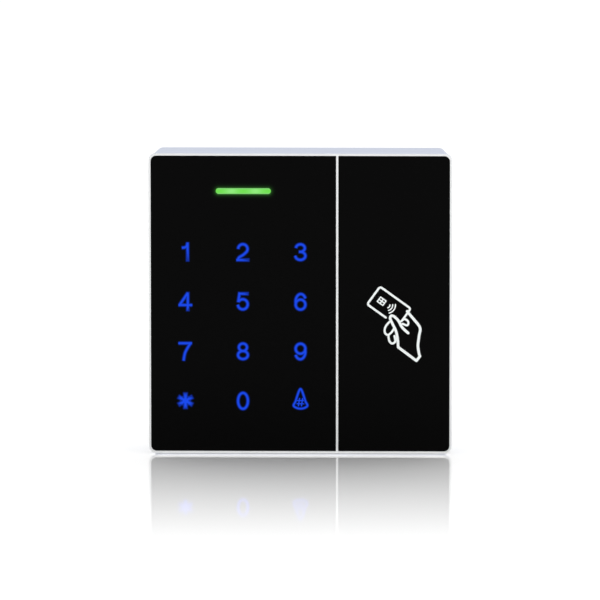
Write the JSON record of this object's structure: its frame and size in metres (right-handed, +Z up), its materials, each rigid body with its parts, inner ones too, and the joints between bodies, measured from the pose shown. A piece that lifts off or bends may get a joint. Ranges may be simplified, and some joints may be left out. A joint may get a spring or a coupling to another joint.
{
  "type": "keypad access reader",
  "caption": "Flat square wall reader with a tapered silver body, a touch keypad panel and a narrow card panel side by side, hooked on a wall plate.",
  "frame": {"origin": "centre of the wall plate's back face, on the wall", "axes": "+Z up, front panels towards -Y, +Y into the wall"},
  "size_m": [0.12, 0.022, 0.12],
  "materials": {
    "plate_plastic": "fine moulded grain",
    "rubber": "soft matt",
    "steel": "zinc plated",
    "silver_plastic": "silver paint with a fine grain",
    "bezel_plastic": "satin silver paint",
    "black_glass": "polished black acrylic, lit figures behind it",
    "tape": "black foam tape",
    "diffuser": "milky sheet",
    "green_light": "lit green, clear",
    "circuit_board": "green solder mask over traces",
    "copper": "enamelled copper wire",
    "wire_insulation": "thin insulation",
    "white_plastic": "plain",
    "green_plastic": "plain",
    "dark_plastic": "moulded",
    "can_metal": "drawn metal can",
    "capacitor_sleeve": "printed sleeve",
    "led_lens": "clear lens",
    "lit_figures": "lit blue figures in the black panel",
    "white_print": "white printed sign"
  },
  "bodies": {
    "wall_mount": {"wall_plate": "plate_plastic", "cable_grommet": "rubber", "lock_nut": "steel"},
    "front_unit": {"housing": "silver_plastic", "bezel_frame": "bezel_plastic", "keypad_panel": "black_glass", "card_panel": "black_glass", "keypad_panel_tape": "tape", "card_panel_tape": "tape", "diffuser_plate": "diffuser", "status_light_pipe": "green_light", "main_board": "circuit_board", "antenna_coil": "copper", "antenna_lead_1": "wire_insulation", "antenna_lead_2": "wire_insulation", "antenna_socket": "white_plastic", "wiring_terminal": "green_plastic", "relay": "dark_plastic", "buzzer": "dark_plastic", "mcu_chip": "dark_plastic", "reader_chip": "dark_plastic", "memory_chip": "dark_plastic", "crystal": "can_metal", "filter_capacitor_1": "capacitor_sleeve", "filter_capacitor_2": "capacitor_sleeve", "regulator": "dark_plastic", "power_inductor": "dark_plastic", "protection_diode": "dark_plastic", "tamper_switch_body": "dark_plastic", "reset_switch_body": "can_metal", "key_led_1": "led_lens", "key_led_2": "led_lens", "key_led_3": "led_lens", "key_led_4": "led_lens", "key_led_5": "led_lens", "key_led_6": "led_lens", "key_led_7": "led_lens", "key_led_8": "led_lens", "key_led_9": "led_lens", "key_led_10": "led_lens", "key_led_11": "led_lens", "key_led_12": "led_lens", "status_led_left": "led_lens", "status_led_right": "led_lens", "board_screw_1": "steel", "board_screw_2": "steel", "board_screw_3": "steel", "board_screw_4": "steel"},
    "lock_screw": {"lock_screw": "steel"},
    "tamper_plunger": {"tamper_plunger": "white_plastic"},
    "reset_button": {"reset_button": "dark_plastic"}
  },
  "joints": [
    {"name": "front_tilt", "type": "hinge", "parent": "wall_mount", "child": "front_unit", "pos_m": [0, -0.0005, 0.0586], "axis": [-1, 0, 0], "range_deg": [0, 20]},
    {"name": "lock_screw_travel", "type": "slide", "parent": "wall_mount", "child": "lock_screw", "axis": [0, 0, -1], "range_m": [0, 0.0012]},
    {"name": "tamper_press", "type": "slide", "parent": "front_unit", "child": "tamper_plunger", "axis": [0, -1, 0], "range_m": [0, 0.001], "stiffness_N_per_m": 800},
    {"name": "reset_press", "type": "slide", "parent": "front_unit", "child": "reset_button", "axis": [0, -1, 0], "range_m": [0, 0.00025], "stiffness_N_per_m": 3000}
  ]
}
